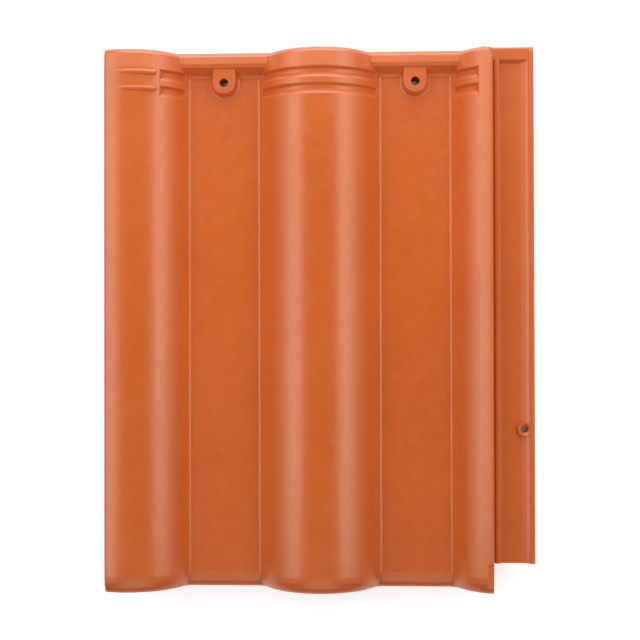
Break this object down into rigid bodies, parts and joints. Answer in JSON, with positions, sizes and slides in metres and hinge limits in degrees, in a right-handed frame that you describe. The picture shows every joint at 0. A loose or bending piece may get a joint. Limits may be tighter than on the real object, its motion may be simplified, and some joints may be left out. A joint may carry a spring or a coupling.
{
  "type": "roof pantile",
  "caption": "Interlocking concrete roof tile with rounded rolls, flat pans, a ribbed side lock, head water bars and nail holes, coated orange.",
  "frame": {"origin": "under the middle of the tile, on the plane that its hanging lugs and nose lip rest on", "axes": "+X across the roof towards the underlock, +Y up the slope towards the head, +Z out of the roof"},
  "size_m": [0.3346, 0.424, 0.0528],
  "materials": {
    "coated_concrete": "smooth satin orange coat over pressed concrete"
  },
  "bodies": {
    "root": {"pantile": "coated_concrete"}
  },
  "joints": []
}
